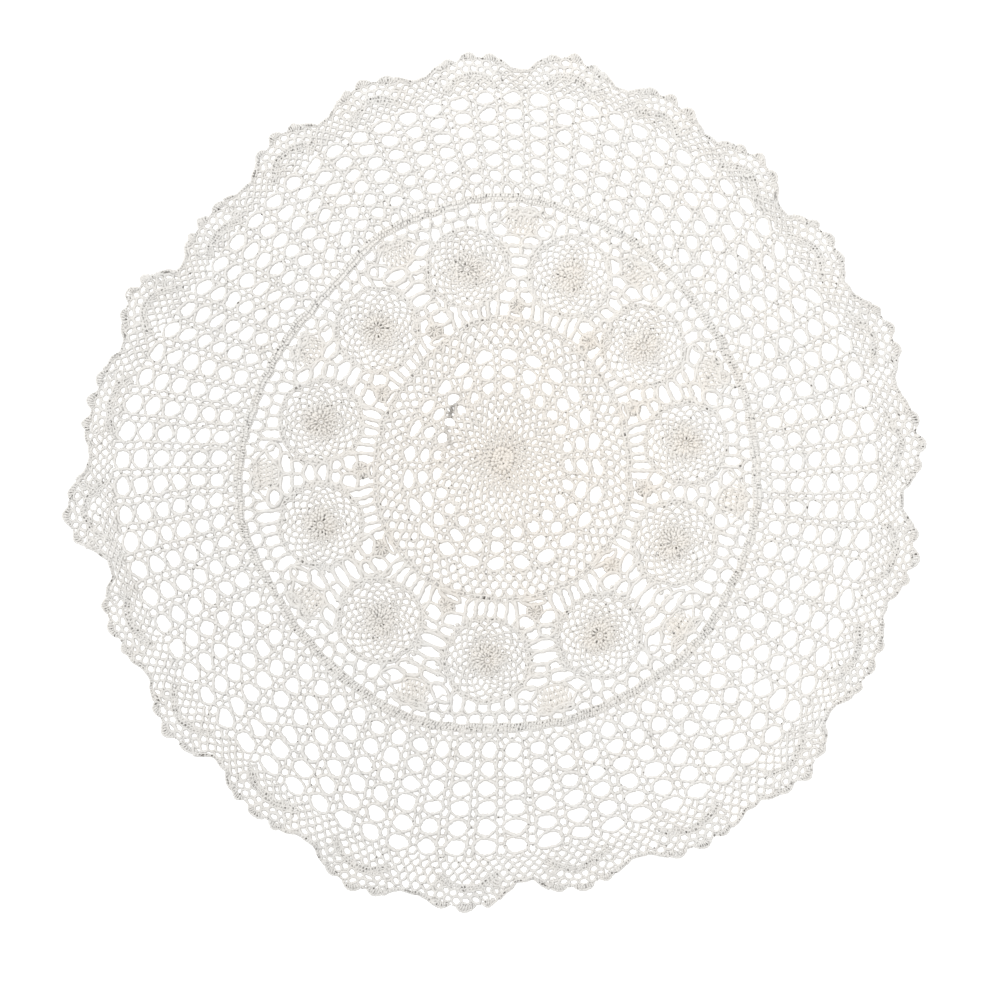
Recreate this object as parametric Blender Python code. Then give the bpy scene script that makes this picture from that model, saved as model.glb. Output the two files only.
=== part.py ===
"""Round lace doily of white cotton thread, lying flat with a gently rippled rim.

The doily is one closed sheet. It has a medallion in the middle, eleven wheels round it, a braid round
the wheels, an open net and a rim of 23 scallops with three bumps each. The larger gaps of each repeat
are cut through, and the braid and the rings and hearts of the motifs are raised on its upper side.

Lengths are in millimetres until the mesh is made. Directions are degrees clockwise from +Y, seen from
above, about the middle of the net. The underside lies on z = 0 apart from the ripples of the rim.
"""

import math
from collections import namedtuple

import bmesh
import bpy
from mathutils import Vector
from mathutils.geometry import delaunay_2d_cdt

MM = 0.001

THICKNESS = 2.0
OVAL_SIDES = 6

# The lace is pulled out of true, so its two main lines are given in 24 headings: braid is the radius
# of the braid and net the radius of the net's outermost row. degrees is where a column of an even net
# would stand, turn how far it really stands clockwise of that at the braid, and lean how much further
# it has moved at the outermost row.
Heading = namedtuple("Heading", "degrees turn lean braid net")
HEADINGS = (
    Heading(0, 0.3, -1.6, 160.2, 219.0),
    Heading(15, -0.4, -1.7, 157.2, 218.4),
    Heading(30, -1.3, -1.8, 154.8, 213.6),
    Heading(45, -1.6, -2.5, 151.5, 213.6),
    Heading(60, -2.1, -1.6, 149.7, 208.8),
    Heading(75, -1.5, -1.9, 150.6, 217.2),
    Heading(90, -1.5, -2.1, 151.5, 219.6),
    Heading(105, -1.6, -1.6, 154.8, 220.2),
    Heading(120, -1.1, -1.0, 155.1, 222.0),
    Heading(135, -0.7, -0.4, 158.4, 228.6),
    Heading(150, -0.5, 0.0, 156.9, 227.7),
    Heading(165, 0.5, -0.1, 158.4, 225.3),
    Heading(180, 2.2, -0.2, 158.4, 229.2),
    Heading(195, 2.7, -1.2, 162.3, 234.9),
    Heading(210, 3.0, -1.9, 160.5, 229.8),
    Heading(225, 3.3, -0.9, 158.4, 225.9),
    Heading(240, 3.5, -1.4, 157.5, 224.4),
    Heading(255, 2.6, -0.7, 160.5, 227.1),
    Heading(270, 1.7, -0.5, 157.5, 228.0),
    Heading(285, 1.0, -0.3, 152.7, 219.3),
    Heading(300, 1.5, -1.5, 149.1, 208.2),
    Heading(315, 2.5, -2.0, 148.2, 207.9),
    Heading(330, 2.5, -2.3, 155.4, 212.4),
    Heading(345, 1.6, -2.1, 157.2, 215.1),
)

# A scallop: the direction and radius of its middle bump, and the radius of the hollow that follows it
# clockwise.
Scallop = namedtuple("Scallop", "middle tip valley")
SCALLOPS = (
    Scallop(10.0, 249.6, 235.8),
    Scallop(24.8, 243.6, 232.2),
    Scallop(40.0, 242.1, 227.4),
    Scallop(55.3, 240.6, 232.8),
    Scallop(70.5, 248.4, 241.8),
    Scallop(87.1, 253.2, 240.6),
    Scallop(103.0, 255.3, 246.3),
    Scallop(118.9, 255.0, 246.3),
    Scallop(135.6, 263.1, 254.7),
    Scallop(152.3, 260.4, 249.6),
    Scallop(169.2, 260.4, 250.2),
    Scallop(184.9, 269.7, 263.7),
    Scallop(199.8, 271.2, 254.4),
    Scallop(215.5, 258.9, 248.4),
    Scallop(231.6, 260.4, 249.0),
    Scallop(247.0, 256.8, 243.6),
    Scallop(263.3, 266.1, 249.0),
    Scallop(278.8, 252.0, 240.6),
    Scallop(294.7, 247.8, 227.1),
    Scallop(308.8, 234.0, 227.7),
    Scallop(325.0, 241.5, 232.2),
    Scallop(339.7, 245.4, 236.7),
    Scallop(355.2, 247.8, 237.6),
)
# The corners of half a scallop: how far they are from its middle, in shares of the way to the hollow,
# and how high over the hollow, in shares of the middle bump's height.
Corner = namedtuple("Corner", "away height")
HALF_SCALLOP = (
    Corner(0.0, 1.0),
    Corner(0.14, 0.92),
    Corner(0.23, 0.66),
    Corner(0.34, 0.80),
    Corner(0.54, 0.70),
    Corner(0.67, 0.16),
    Corner(1.0, 0.0),
)

# The wheels' hearts: direction and distance from the middle.
Wheel = namedtuple("Wheel", "degrees reach")
WHEELS = (
    Wheel(-10.4, 119.4),
    Wheel(19.7, 119.2),
    Wheel(49.9, 109.8),
    Wheel(83.5, 110.5),
    Wheel(114.8, 113.0),
    Wheel(150.8, 118.2),
    Wheel(184.7, 118.0),
    Wheel(218.3, 119.2),
    Wheel(251.5, 115.2),
    Wheel(283.3, 112.2),
    Wheel(317.0, 110.0),
)
WHEEL_RADIUS = 25.5
WHEEL_RING_WIDTH = 2.4
WHEEL_RING_POINTS = 10
WHEEL_HEART_RADIUS = 9.0
WHEEL_HEART_POINTS = 5

# The medallion is an ellipse of these half sizes, drawn in or out at each of its 24 columns of ovals
# by a share of its radius.
MEDALLION_MIDDLE = Vector((-0.3, 2.4))
MEDALLION_ACROSS = 77.4
MEDALLION_UP = 82.8
MEDALLION_PULL = (
    0.03, 0.01, 0.00, -0.02, -0.03, -0.03, -0.02, 0.02, 0.03, 0.03, 0.03, 0.02,
    0.01, 0.02, 0.04, 0.04, 0.03, 0.01, -0.02, -0.04, -0.06, -0.07, -0.04, 0.01,
)
MEDALLION_RING_WIDTH = 2.4
MEDALLION_RING_POINTS = 32
MEDALLION_HEART_SHARE = 0.15
MEDALLION_HEART_POINTS = 6
MEDALLION_OVALS = 24
MEDALLION_OVALS_START = 4.0

# A ring of ovals in the medallion: its radius as a share of the medallion's, and an oval's sides.
OvalRing = namedtuple("OvalRing", "share across along")
MEDALLION_RINGS = (
    OvalRing(0.637, 8.4, 6.0),
    OvalRing(0.757, 10.2, 6.4),
)

# A gap in the joining between two wheels: its place from the medallion, 0, to the braid, 1, how far
# it stands to each side of the line between the wheels, and its sides.
JoinGap = namedtuple("JoinGap", "share aside across along")
JOIN_GAPS = (
    JoinGap(0.19, 6.0, 8.4, 7.2),
    JoinGap(0.385, 0.0, 9.0, 4.8),
    JoinGap(0.65, 6.6, 9.6, 5.2),
    JoinGap(0.745, 13.2, 9.0, 5.8),
)

BRAID_WIDTH = 5.4
BRAID_POINTS = 48

NET_COLUMNS = 42
NET_ROWS = 4
NET_COLUMN_START = 2.9
NET_INNER_OFFSET = 7.5
NET_OUTER_OFFSET = 5.4
NET_BAR = 3.2

RAISED = 1.0

# A ripple of the rim: the direction of its crest, its half width in degrees and its height.
Ripple = namedtuple("Ripple", "degrees half_width height")
RIPPLES = (
    Ripple(19, 7, 3.0),
    Ripple(62, 8, 4.0),
    Ripple(96, 7, 3.0),
    Ripple(128, 7, 2.6),
    Ripple(177, 7, 3.6),
    Ripple(207, 6, 3.2),
    Ripple(256, 6, 3.4),
    Ripple(299, 7, 5.0),
    Ripple(333, 7, 3.0),
)
RIPPLE_START = 190.0
RIPPLE_FULL = 245.0

# How the flat sheet is triangulated: what to keep, and how near two points are one.
INSIDE_OF_LOOPS = 1
MERGE_DISTANCE = 1e-6

COTTON = (0.86, 0.85, 0.81, 1.0)
COTTON_ROUGHNESS = 0.92


def place(degrees, radius):
    """The point at a direction and a radius about the middle of the net."""
    angle = math.radians(degrees)
    return Vector((radius * math.sin(angle), radius * math.cos(angle)))


def eased(share):
    """A smooth rise from 0 to 1 while share goes from 0 to 1."""
    share = min(max(share, 0.0), 1.0)
    return share * share * (3 - 2 * share)


def round_curve(values, degrees):
    """The height at a direction of the smooth closed curve through values, which are evenly spaced
    round the full turn from 0 degrees."""
    step = degrees * len(values) / 360
    first = math.floor(step)
    share = step - first
    before, low, high, after = [values[(first + k) % len(values)] for k in (-1, 0, 1, 2)]
    slope = (high - before) * share
    bend = (2 * before - 5 * low + 4 * high - after) * share**2
    twist = (3 * low - before - 3 * high + after) * share**3
    return low + (slope + bend + twist) / 2


def at_heading(degrees, column):
    """A column of HEADINGS at any direction."""
    return round_curve([getattr(heading, column) for heading in HEADINGS], degrees)


def braid_radius(degrees):
    """The braid's radius in a true direction."""
    return at_heading(degrees - at_heading(degrees, "turn"), "braid")


def net_point(degrees, row):
    """A point of the net: degrees says where it would stand in an even one, and row goes from 0 at
    the braid to 1 at the net's outer row."""
    braid = at_heading(degrees, "braid")
    outer = at_heading(degrees, "net")
    true = degrees + at_heading(degrees, "turn") + at_heading(degrees, "lean") * row
    return place(true, braid + (outer - braid) * row)


def medallion_point(degrees, share):
    """A point of the medallion, in the direction that degrees would have in a round one: share is 1
    at its border."""
    angle = math.radians(degrees)
    outward = Vector((MEDALLION_ACROSS * math.sin(angle), MEDALLION_UP * math.cos(angle)))
    return MEDALLION_MIDDLE + outward * share * (1 + round_curve(MEDALLION_PULL, degrees))


def medallion_radius(degrees):
    """How far the medallion's border is from the middle of the net in a true direction."""
    outward = place(degrees, 1)
    even = math.atan2(outward.x / MEDALLION_ACROSS, outward.y / MEDALLION_UP)
    return medallion_point(math.degrees(even), 1).dot(outward)


def wheel_points(wheel, radius, count):
    """Points evenly round a wheel's heart."""
    heart = place(wheel.degrees, wheel.reach)
    return [heart + place(360 * k / count, radius) for k in range(count)]


def oval(middle, across, along, outward):
    """The corners of a gap, counter-clockwise: across wide, and along high towards outward."""
    up = outward.normalized()
    side = Vector((up.y, -up.x))
    corners = []
    for k in range(OVAL_SIDES):
        angle = 2 * math.pi * k / OVAL_SIDES
        corners.append(
            middle + side * (across / 2 * math.cos(angle)) + up * (along / 2 * math.sin(angle))
        )
    return corners


def outline():
    """The corners of the rim, counter-clockwise."""
    corners = []
    for k, scallop in enumerate(SCALLOPS):
        before = SCALLOPS[k - 1]
        after = SCALLOPS[(k + 1) % len(SCALLOPS)]
        back = (scallop.middle - before.middle) % 360 / 2
        ahead = (after.middle - scallop.middle) % 360 / 2
        for corner in reversed(HALF_SCALLOP[1:-1]):
            rise = (scallop.tip - before.valley) * corner.height
            corners.append(place(scallop.middle - back * corner.away, before.valley + rise))
        for corner in HALF_SCALLOP:
            rise = (scallop.tip - scallop.valley) * corner.height
            corners.append(place(scallop.middle + ahead * corner.away, scallop.valley + rise))
    return corners[::-1]


def medallion_gaps():
    """The rings of ovals in the medallion."""
    gaps = []
    for ring in MEDALLION_RINGS:
        for k in range(MEDALLION_OVALS):
            degrees = MEDALLION_OVALS_START + 360 * k / MEDALLION_OVALS
            middle = medallion_point(degrees, ring.share)
            gaps.append(oval(middle, ring.across, ring.along, middle - MEDALLION_MIDDLE))
    return gaps


def join_gaps():
    """The gaps between each two wheels."""
    gaps = []
    for k, wheel in enumerate(WHEELS):
        after = WHEELS[(k + 1) % len(WHEELS)]
        degrees = wheel.degrees + (after.degrees - wheel.degrees) % 360 / 2
        inner = medallion_radius(degrees)
        outer = braid_radius(degrees)
        up = place(degrees, 1)
        side = Vector((up.y, -up.x))
        for gap in JOIN_GAPS:
            middle = place(degrees, inner + (outer - inner) * gap.share)
            for sign in (-1, 1) if gap.aside else (0,):
                gaps.append(oval(middle + side * (sign * gap.aside), gap.across, gap.along, up))
    return gaps


def net_gaps():
    """The ovals of the net, between the braid and the scallops."""
    gaps = []
    for column in range(NET_COLUMNS):
        degrees = NET_COLUMN_START + 360 * column / NET_COLUMNS
        half = 180 / NET_COLUMNS
        depth = at_heading(degrees, "net") - at_heading(degrees, "braid")
        first = NET_INNER_OFFSET / depth
        last = 1 + NET_OUTER_OFFSET / depth
        for row in range(NET_ROWS):
            low = first + (last - first) * row / NET_ROWS
            high = first + (last - first) * (row + 1) / NET_ROWS
            level = (low + high) / 2
            middle = net_point(degrees, level)
            across = (net_point(degrees + half, level) - net_point(degrees - half, level)).length
            along = net_point(degrees, high) - net_point(degrees, low)
            gaps.append(oval(middle, across - NET_BAR, along.length - NET_BAR, along))
    return gaps


def raised_points():
    """The crests on the upper side and the level points at their feet, as (point, height)."""
    points = []
    for side, height in ((-1, 0), (0, RAISED), (1, 0)):
        for k in range(BRAID_POINTS):
            degrees = 360 * k / BRAID_POINTS
            radius = braid_radius(degrees) + side * BRAID_WIDTH / 2
            points.append((place(degrees, radius), height))
        for k in range(MEDALLION_RING_POINTS):
            border = medallion_point(360 * k / MEDALLION_RING_POINTS, 1)
            outward = (border - MEDALLION_MIDDLE).normalized()
            points.append((border + outward * (side * MEDALLION_RING_WIDTH / 2), height))
    for wheel in WHEELS:
        points.append((place(wheel.degrees, wheel.reach), RAISED))
        foot = WHEEL_RADIUS - WHEEL_RING_WIDTH
        points += [(p, 0) for p in wheel_points(wheel, WHEEL_HEART_RADIUS, WHEEL_HEART_POINTS)]
        points += [(p, 0) for p in wheel_points(wheel, foot, WHEEL_RING_POINTS)]
        points += [(p, RAISED) for p in wheel_points(wheel, WHEEL_RADIUS, WHEEL_RING_POINTS)]
    points.append((MEDALLION_MIDDLE, RAISED))
    for k in range(MEDALLION_HEART_POINTS):
        degrees = 360 * k / MEDALLION_HEART_POINTS
        points.append((medallion_point(degrees, MEDALLION_HEART_SHARE), 0))
    return points


def ripple_height(point):
    """How high the sheet is lifted at a point, which is nothing except in the ripples of the rim."""
    degrees = math.degrees(math.atan2(point.x, point.y))
    reach = eased((point.length - RIPPLE_START) / (RIPPLE_FULL - RIPPLE_START))
    height = 0.0
    for ripple in RIPPLES:
        away = abs((degrees - ripple.degrees + 180) % 360 - 180)
        height += ripple.height * eased(1 - away / ripple.half_width)
    return height * reach


def flat_sheet(loops, raised):
    """A flat triangulated sheet inside the first loop, cut through at the others, and with a point at
    each raised one. The face normals point down. Gives the sheet and each point's height."""
    points = [point for loop in loops for point in loop] + [point for point, _ in raised]
    heights = [0.0] * (len(points) - len(raised)) + [height for _, height in raised]
    rings = []
    for loop in loops:
        start = sum(len(ring) for ring in rings)
        rings.append(list(range(start, start + len(loop))))
    flat, _, triangles, sources, _, owners = delaunay_2d_cdt(
        points, [], rings, INSIDE_OF_LOOPS, MERGE_DISTANCE
    )
    sheet = bmesh.new()
    corners = [sheet.verts.new((point.x, point.y, 0)) for point in flat]
    for triangle, owner in zip(triangles, owners):
        if list(owner) == [0]:
            sheet.faces.new([corners[k] for k in reversed(triangle)])
    height_at = {}
    for corner, source in zip(corners, sources):
        height_at[corner.co.x, corner.co.y] = max((heights[k] for k in source), default=0.0)
    loose = [corner for corner in sheet.verts if not corner.link_faces]
    bmesh.ops.delete(sheet, geom=loose, context="VERTS")
    return sheet, height_at


def doily_mesh():
    """The doily's mesh: the flat sheet extruded upwards, with its crests raised and rim rippled."""
    loops = [outline()] + medallion_gaps() + join_gaps() + net_gaps()
    sheet, height_at = flat_sheet(loops, raised_points())
    made = bmesh.ops.extrude_face_region(sheet, geom=list(sheet.faces), use_keep_orig=True)
    for part in made["geom"]:
        if isinstance(part, bmesh.types.BMVert):
            part.co.z = THICKNESS + height_at[part.co.x, part.co.y]
    for corner in sheet.verts:
        corner.co.z += ripple_height(corner.co.xy)
    bmesh.ops.recalc_face_normals(sheet, faces=sheet.faces)
    bmesh.ops.scale(sheet, vec=(MM, MM, MM), verts=sheet.verts)
    mesh = bpy.data.meshes.new("doily")
    sheet.to_mesh(mesh)
    sheet.free()
    return mesh


def cotton():
    """The doily's off-white cotton."""
    material = bpy.data.materials.new("cotton")
    material.use_nodes = True
    shader = material.node_tree.nodes["Principled BSDF"]
    shader.inputs["Base Color"].default_value = COTTON
    shader.inputs["Roughness"].default_value = COTTON_ROUGHNESS
    shader.inputs["Metallic"].default_value = 0.0
    return material


def main():
    for old in list(bpy.data.objects):
        bpy.data.objects.remove(old, do_unlink=True)
    doily = bpy.data.objects.new("doily", doily_mesh())
    doily.data.materials.append(cotton())
    bpy.context.scene.collection.objects.link(doily)


main()
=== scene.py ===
"""Round lace doily of off-white cotton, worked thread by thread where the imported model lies.

Lengths are in millimetres until a mesh is made. Directions are degrees clockwise from +Y, seen from
above, about the middle of the net, which is the frame's origin. Every part of the lace is worked on a
ground: a function that turns column and row numbers into points, so that a stitch is drawn once, in
the units of its cell, and repeated.
"""

import math
from collections import namedtuple

import bpy
import numpy as np
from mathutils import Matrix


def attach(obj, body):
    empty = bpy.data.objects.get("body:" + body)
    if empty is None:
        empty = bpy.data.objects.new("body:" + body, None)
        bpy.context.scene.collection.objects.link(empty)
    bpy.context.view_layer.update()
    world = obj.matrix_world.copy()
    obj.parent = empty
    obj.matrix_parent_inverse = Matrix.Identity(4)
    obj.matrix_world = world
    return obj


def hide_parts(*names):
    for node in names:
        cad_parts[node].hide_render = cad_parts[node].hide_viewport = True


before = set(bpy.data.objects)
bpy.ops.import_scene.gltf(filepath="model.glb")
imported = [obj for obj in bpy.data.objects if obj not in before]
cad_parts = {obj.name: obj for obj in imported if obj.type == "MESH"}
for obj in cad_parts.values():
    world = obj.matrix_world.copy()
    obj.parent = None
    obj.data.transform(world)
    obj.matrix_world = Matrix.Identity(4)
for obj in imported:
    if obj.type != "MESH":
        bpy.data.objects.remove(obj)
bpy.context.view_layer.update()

bl_info = {
    "name": "Lace doily",
    "version": (1, 0, 0),
    "blender": (4, 5, 0),
    "location": "View3D > Sidebar > Doily",
    "description": "Works a round lace doily of cotton thread, lying flat",
    "category": "Object",
}

CAD_NODE = "doily"
BODY = "root"
MM = 0.001

# --- The doily's layout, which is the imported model's ---

# The lace is pulled out of true, so its two main lines are given in 24 headings, 15 degrees apart from
# 0 on: braid is the radius of the braid and net the radius of the net's outermost row. turn is how far
# a column of an even net really stands clockwise of its heading at the braid, and lean how much further
# it has moved at the outermost row.
Heading = namedtuple("Heading", "turn lean braid net")
HEADINGS = [
    Heading(*row)
    for row in (
        (0.3, -1.6, 160.2, 219.0), (-0.4, -1.7, 157.2, 218.4), (-1.3, -1.8, 154.8, 213.6),
        (-1.6, -2.5, 151.5, 213.6), (-2.1, -1.6, 149.7, 208.8), (-1.5, -1.9, 150.6, 217.2),
        (-1.5, -2.1, 151.5, 219.6), (-1.6, -1.6, 154.8, 220.2), (-1.1, -1.0, 155.1, 222.0),
        (-0.7, -0.4, 158.4, 228.6), (-0.5, 0.0, 156.9, 227.7), (0.5, -0.1, 158.4, 225.3),
        (2.2, -0.2, 158.4, 229.2), (2.7, -1.2, 162.3, 234.9), (3.0, -1.9, 160.5, 229.8),
        (3.3, -0.9, 158.4, 225.9), (3.5, -1.4, 157.5, 224.4), (2.6, -0.7, 160.5, 227.1),
        (1.7, -0.5, 157.5, 228.0), (1.0, -0.3, 152.7, 219.3), (1.5, -1.5, 149.1, 208.2),
        (2.5, -2.0, 148.2, 207.9), (2.5, -2.3, 155.4, 212.4), (1.6, -2.1, 157.2, 215.1),
    )
]

# A scallop: the direction and radius of its middle bump, and the radius of the hollow that follows it
# clockwise.
Scallop = namedtuple("Scallop", "middle tip valley")
SCALLOPS = [
    Scallop(*row)
    for row in (
        (10.0, 249.6, 235.8), (24.8, 243.6, 232.2), (40.0, 242.1, 227.4), (55.3, 240.6, 232.8),
        (70.5, 248.4, 241.8), (87.1, 253.2, 240.6), (103.0, 255.3, 246.3), (118.9, 255.0, 246.3),
        (135.6, 263.1, 254.7), (152.3, 260.4, 249.6), (169.2, 260.4, 250.2), (184.9, 269.7, 263.7),
        (199.8, 271.2, 254.4), (215.5, 258.9, 248.4), (231.6, 260.4, 249.0), (247.0, 256.8, 243.6),
        (263.3, 266.1, 249.0), (278.8, 252.0, 240.6), (294.7, 247.8, 227.1), (308.8, 234.0, 227.7),
        (325.0, 241.5, 232.2), (339.7, 245.4, 236.7), (355.2, 247.8, 237.6),
    )
]

# A wheel: the direction and distance of its heart from the middle, and its size as a share of the
# radius at which the threads round it meet its raised ring.
Wheel = namedtuple("Wheel", "degrees reach size")
WHEELS = [
    Wheel(*row)
    for row in (
        (-10.4, 119.4, 0.97), (19.7, 119.2, 0.98), (49.9, 109.8, 1.0), (83.5, 110.5, 1.0),
        (114.8, 113.0, 1.03), (150.8, 118.2, 1.02), (184.7, 118.0, 1.03), (218.3, 119.2, 1.01),
        (251.5, 115.2, 1.02), (283.3, 112.2, 1.02), (317.0, 110.0, 1.03),
    )
]
WHEEL_RADIUS = 24.4

# The medallion is an ellipse of these half sizes, drawn in or out at each of its 24 columns of ovals
# by a share of its radius.
MEDALLION_MIDDLE = np.array((-0.3, 2.4))
MEDALLION_HALF_SIZES = np.array((77.4, 82.8))
MEDALLION_PULL = (
    0.03, 0.01, 0.00, -0.02, -0.03, -0.03, -0.02, 0.02, 0.03, 0.03, 0.03, 0.02,
    0.01, 0.02, 0.04, 0.04, 0.03, 0.01, -0.02, -0.04, -0.06, -0.07, -0.04, 0.01,
)

# A ripple of the rim: the direction of its crest, its half width in degrees and its height.
Ripple = namedtuple("Ripple", "degrees half_width height")
RIPPLES = [
    Ripple(*row)
    for row in (
        (19, 7, 3.0), (62, 8, 4.0), (96, 7, 3.0), (128, 7, 2.6), (177, 7, 3.6),
        (207, 6, 3.2), (256, 6, 3.4), (299, 7, 5.0), (333, 7, 3.0),
    )
]

# The radii between which the ripples rise to their full height.
RIPPLE_START = 190.0
RIPPLE_FULL = 245.0


def around(degrees, radius):
    """Points at directions and radii about the origin. The last axis holds x and y."""
    angle = np.radians(degrees)
    return np.stack((radius * np.sin(angle), radius * np.cos(angle)), axis=-1)


def eased(share):
    """A smooth rise from 0 to 1 while share goes from 0 to 1."""
    share = np.clip(share, 0.0, 1.0)
    return share * share * (3 - 2 * share)


def round_curve(values, degrees):
    """The heights at directions of the smooth closed curve through values, which are evenly spaced
    round the full turn from 0 degrees."""
    values = np.asarray(values)
    step = np.asarray(degrees) * len(values) / 360
    first = np.floor(step).astype(int)
    share = step - first
    before, low, high, after = [values[(first + k) % len(values)] for k in (-1, 0, 1, 2)]
    slope = (high - before) * share
    bend = (2 * before - 5 * low + 4 * high - after) * share**2
    twist = (3 * low - before - 3 * high + after) * share**3
    return low + (slope + bend + twist) / 2


def at_heading(degrees, column):
    """A column of HEADINGS at any directions."""
    return round_curve([getattr(heading, column) for heading in HEADINGS], degrees)


def braid_radius(degrees):
    """The braid's radius in true directions."""
    return at_heading(degrees - at_heading(degrees, "turn"), "braid")


def medallion_point(degrees, share):
    """Points of the medallion, in the directions that degrees would have in a round one: share is 1
    at its border."""
    outward = around(degrees, 1.0) * MEDALLION_HALF_SIZES
    pulled = share * (1 + round_curve(MEDALLION_PULL, degrees))
    return MEDALLION_MIDDLE + outward * pulled[..., None]


def medallion_radius(degrees):
    """How far the medallion's border is from the middle of the net in true directions."""
    outward = around(degrees, 1.0)
    even = outward / MEDALLION_HALF_SIZES
    border = medallion_point(np.degrees(np.arctan2(even[..., 0], even[..., 1])), np.ones_like(degrees))
    return (border * outward).sum(axis=-1)


def ripple_height(points):
    """How high the lace is lifted at points, which is nothing except in the ripples of the rim."""
    degrees = np.degrees(np.arctan2(points[..., 0], points[..., 1]))
    reach = np.hypot(points[..., 0], points[..., 1])
    height = np.zeros_like(degrees)
    for ripple in RIPPLES:
        away = np.abs((degrees - ripple.degrees + 180) % 360 - 180)
        height += ripple.height * eased(1 - away / ripple.half_width)
    return height * eased((reach - RIPPLE_START) / (RIPPLE_FULL - RIPPLE_START))


# --- The grounds ---

# The net's ovals: their columns and rows, how many columns the first one is turned from +Y, and how
# far their first row is from the braid.
NET_COLUMNS = 81
NET_ROWS = 6
NET_TURN = 0.65
NET_FIRST_ROW = 12.9


def net_ground(column, row):
    """The net between the braid and the edging: its ovals stand at whole columns and at rows 1 to 6."""
    degrees = 360 / NET_COLUMNS * (column + NET_TURN)
    braid = at_heading(degrees, "braid")
    depth = at_heading(degrees, "net") - braid
    out = NET_FIRST_ROW + (depth - NET_FIRST_ROW) * (row - 1) / (NET_ROWS - 1)
    true = degrees + at_heading(degrees, "turn") + at_heading(degrees, "lean") * out / depth
    return around(true, braid + out)


def at_round(row, values):
    """The value at row numbers, on a straight line between those of the whole numbers."""
    first = np.clip(np.floor(row).astype(int), 0, len(values) - 2)
    low = np.take(values, first)
    return low + (np.take(values, first + 1) - low) * (row - first)


def ring_ground(shape, columns, start, radii):
    """A ground in rounds: shape turns directions and radii into points, and the rounds have radii."""

    def ground(column, row):
        return shape(start + 360 / columns * column, at_round(row, radii))

    return ground


def heart_of(wheel):
    """The point in the middle of a wheel."""
    return around(wheel.degrees, wheel.reach)


def wheel_shape(wheel):
    """The shape of a wheel: directions and radii about its heart."""
    heart = heart_of(wheel)

    def shape(degrees, radius):
        return heart + around(wheel.degrees + degrees, radius * wheel.size)

    return shape


def numbered_degrees(number, directions):
    """The true direction of any number. directions is a list of those of 0, 1 and so on for one turn."""
    count = len(directions)
    turns = np.floor_divide(number, count)
    whole = directions + [directions[0] + 360]
    return np.interp(number - turns * count, range(count + 1), whole) + 360 * turns


def repeat_degrees(repeat):
    """The true direction of a repeat number: whole at each wheel, and halves between two wheels."""
    return numbered_degrees(repeat, [wheel.degrees for wheel in WHEELS])


# The edging: the columns of its mesh to a scallop, how far its foot is out from the net's outermost
# row, and how fast its rim falls away from a scallop's middle bump.
EDGING_COLUMNS = 11
EDGING_FOOT = 5.4
RIM_FALL = 5.6


def scallop_degrees(scallop):
    """The true direction of a scallop number, which is whole at each middle bump."""
    return numbered_degrees(scallop, [s.middle for s in SCALLOPS])


def between_scallops(values, scallop):
    """The smooth closed curve through one value for each scallop, at scallop numbers."""
    return round_curve(values, scallop * 360 / len(SCALLOPS))


def net_edge(degrees):
    """The radius of the net's outer edge in true directions."""
    moved = at_heading(degrees, "turn") + at_heading(degrees, "lean")
    return at_heading(degrees - moved, "net") + EDGING_FOOT


def scallop_radii(scallop):
    """The radii of the smooth curves through the hollows and through the middle bumps."""
    hollow = between_scallops([s.valley for s in SCALLOPS], scallop - 0.5)
    return hollow, between_scallops([s.tip for s in SCALLOPS], scallop)


def from_middle(scallop):
    """How far a scallop number is from the nearest middle bump."""
    return (scallop + 0.5) % 1 - 0.5


def edging_ground(scallop, level):
    """The edging: level is 0 at the net, 1 at the hollows and 2 at the middle bumps."""
    degrees = scallop_degrees(scallop)
    foot = net_edge(degrees)
    hollow, tip = scallop_radii(scallop)
    low = foot + (hollow - foot) * np.minimum(level, 1.0)
    return around(degrees, low + (tip - hollow) * np.maximum(level - 1.0, 0.0))


def rim_radius(scallop):
    """The radius of the edging's rim, which touches the three bumps of each scallop."""
    hollow, tip = scallop_radii(scallop)
    return hollow + (tip - hollow) * np.maximum(1 - RIM_FALL * from_middle(scallop) ** 2, 0.0)


def rim_ground(scallop, depth):
    """The edging measured from its rim: depth is how far in from it a point is."""
    return around(scallop_degrees(scallop), rim_radius(scallop) - depth)


# --- Threads ---

# A thread is a tube that swells by BULGE in each stitch. Its height is FLATNESS of its width, and its
# middle lies LYING high, or RAISED in a post. BOW and WIDTH_SPREAD are how unequal threads are in their
# bend and width.
SIDES = 4
BULGE = 0.14
FLATNESS = 0.7
LYING = 0.85
RAISED = LYING + 0.3
BOW = 0.16
WIDTH_SPREAD = 0.07

# Wide threads lie under close work. They are flatter, and lowest under the braid and the shells.
UNDER_FLATNESS = 0.3
UNDER_HEIGHT = 0.7
LOWEST_HEIGHT = 0.6

# A knot has three points: their places and widths as shares of its size. Some have a dark dot beside
# them, which is painted shade where the yarn turns down between the stitches.
KNOT_STEPS = np.array((-0.55, 0.0, 0.55))
KNOT_WIDTHS = np.array((0.5, 0.95, 0.5))
DARK_KNOTS = 0.42
DOT_SIZE = 0.5
DOT_LENGTH = 0.35
DOT_STRAY = 0.4

# The shade of raised close work. It is below 0, so that it lightens the shading of its stitches.
LIT = -0.3

# The waves of the doily's unevenness: their number and lengths, how far they move a thread aside and
# up, and the share of its width that they add.
WAVES = 14
SHORTEST_WAVE = 7.0
LONGEST_WAVE = 40.0
STRAY = 0.42
HEAVE = 0.16
SWELL = 0.10
SEED = 16


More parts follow.
